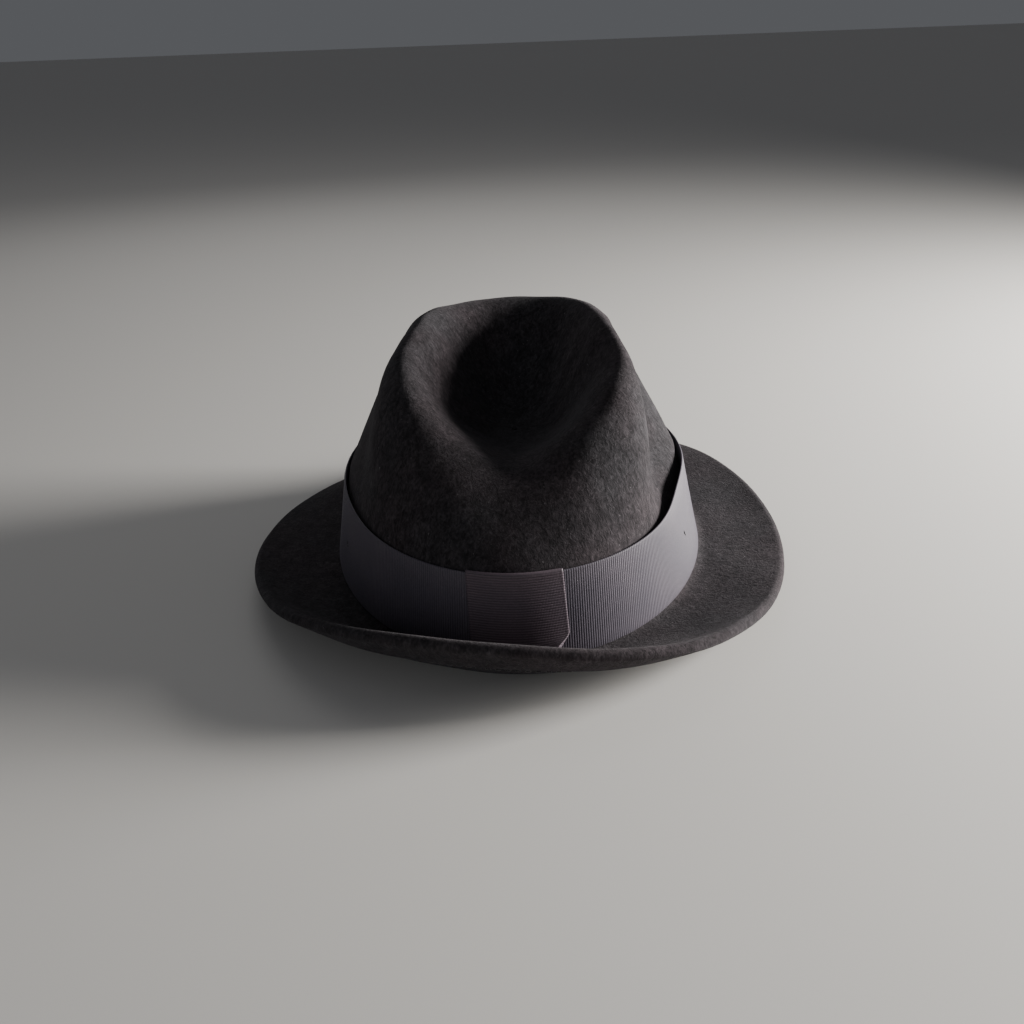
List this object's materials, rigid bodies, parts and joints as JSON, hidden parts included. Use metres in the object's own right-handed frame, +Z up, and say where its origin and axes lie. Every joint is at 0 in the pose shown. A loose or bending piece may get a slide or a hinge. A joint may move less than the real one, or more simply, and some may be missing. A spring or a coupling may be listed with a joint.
{
  "type": "fedora hat",
  "caption": "Charcoal felt fedora with a teardrop crown, two side pinches, mauve-grey grosgrain band with keeper, upturned rear brim and a front brim that snaps down or up.",
  "frame": {"origin": "centre of the hat's bounding box, on the ground it stands on", "axes": "+X to the wearer's right, +Y to the front of the hat, +Z up; the hat stands on its snapped-down front rim and the rear of its brim"},
  "size_m": [0.2518, 0.2734, 0.1148],
  "materials": {
    "felt": "charcoal blocked wool felt, matt with a short nap",
    "ribbon": "mauve-grey grosgrain ribbon with fine cross ribs",
    "ribbon_thread": "dark tacking thread",
    "felt_thread": "charcoal lockstitch thread",
    "sweatband": "dark brown sheepskin, softly glazed",
    "sweatband_thread": "brown thread",
    "reed": "narrow leather roll over a thin reed",
    "bow": "narrow black satin ribbon",
    "label": "woven off-white size tag",
    "lining": "dark grey satin lining",
    "piping": "darker satin piping"
  },
  "bodies": {
    "root": {"felt_body": "felt", "ribbon_band": "ribbon", "ribbon_keeper": "ribbon", "ribbon_tack_left": "ribbon_thread", "ribbon_tack_right": "ribbon_thread", "sweatband": "sweatband", "sweatband_reed": "reed", "sweatband_stitching": "sweatband_thread", "sweatband_bow": "bow", "size_label": "label", "lining_side": "lining", "lining_tip": "lining", "lining_piping": "piping", "brim_thread_outer": "felt_thread", "brim_thread_inner": "felt_thread"},
    "front_brim": {"brim_front": "felt", "brim_front_thread_outer": "felt_thread", "brim_front_thread_inner": "felt_thread"}
  },
  "joints": [
    {"name": "brim_snap", "type": "hinge", "parent": "root", "child": "front_brim", "pos_m": [0, 0.10766, 0.01308], "axis": [1, 0, 0], "range_deg": [0, 50]}
  ]
}
